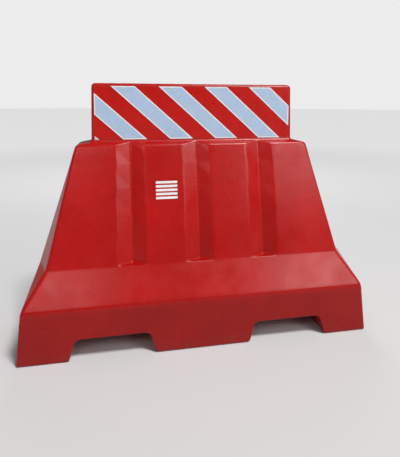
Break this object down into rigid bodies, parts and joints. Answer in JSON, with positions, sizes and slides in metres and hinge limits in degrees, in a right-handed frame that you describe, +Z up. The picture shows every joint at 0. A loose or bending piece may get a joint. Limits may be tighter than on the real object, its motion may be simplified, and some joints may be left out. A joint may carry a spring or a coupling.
{
  "type": "water filled barrier",
  "caption": "Hollow moulded red road barrier with a flared base, forklift slots, V-grooved faces, an upstand panel with striped reflective sheeting, and screwed fill and drain plugs.",
  "frame": {"origin": "centre of the footprint, on the ground", "axes": "+X along the barrier's length, +Y from the front face to the back face, +Z up"},
  "size_m": [1.2482, 0.4998, 0.93],
  "materials": {
    "red_polyethylene": "semi-gloss moulded polyethylene with a faint orange peel and light scuffs",
    "insert_brass": "turned, slightly dulled",
    "gasket_rubber": "matt black",
    "plug_plastic": "satin moulded",
    "red_sheeting": "retroreflective film, semi-gloss",
    "white_sheeting": "retroreflective film, semi-gloss, pale edge seal",
    "label_film": "plain printed film"
  },
  "bodies": {
    "barrier": {"barrier_body": "red_polyethylene", "fill_insert": "insert_brass", "drain_insert": "insert_brass", "label_plate": "label_film", "front_red_sheeting": "red_sheeting", "front_white_corner": "white_sheeting", "front_white_stripe_1": "white_sheeting", "front_white_stripe_2": "white_sheeting", "front_white_stripe_3": "white_sheeting", "front_white_stripe_4": "white_sheeting", "front_white_stripe_5": "white_sheeting", "back_red_sheeting": "red_sheeting", "back_white_corner": "white_sheeting", "back_white_stripe_1": "white_sheeting", "back_white_stripe_2": "white_sheeting", "back_white_stripe_3": "white_sheeting", "back_white_stripe_4": "white_sheeting", "back_white_stripe_5": "white_sheeting"},
    "fill_seal": {"fill_gasket": "gasket_rubber"},
    "fill_screw": {"fill_plug": "plug_plastic"},
    "drain_seal": {"drain_gasket": "gasket_rubber"},
    "drain_screw": {"drain_plug": "plug_plastic"}
  },
  "joints": [
    {"name": "fill_plug_rise", "type": "slide", "parent": "barrier", "child": "fill_seal", "axis": [0, 0, 1], "range_m": [0, 0.0201]},
    {"name": "fill_plug_turn", "type": "hinge", "parent": "fill_seal", "child": "fill_screw", "pos_m": [0, 0, 0.896], "axis": [0, 0, 1], "range_deg": [0, 1440]},
    {"name": "drain_plug_rise", "type": "slide", "parent": "barrier", "child": "drain_seal", "axis": [1, 0, 0], "range_m": [0, 0.0161]},
    {"name": "drain_plug_turn", "type": "hinge", "parent": "drain_seal", "child": "drain_screw", "pos_m": [0.594, 0, 0.062], "axis": [1, 0, 0], "range_deg": [0, 1440]}
  ],
  "couplings": [
    {"joint": "fill_plug_rise", "follows": "fill_plug_turn", "m_per_rad": 0.00079577},
    {"joint": "drain_plug_rise", "follows": "drain_plug_turn", "m_per_rad": 0.00063662}
  ]
}
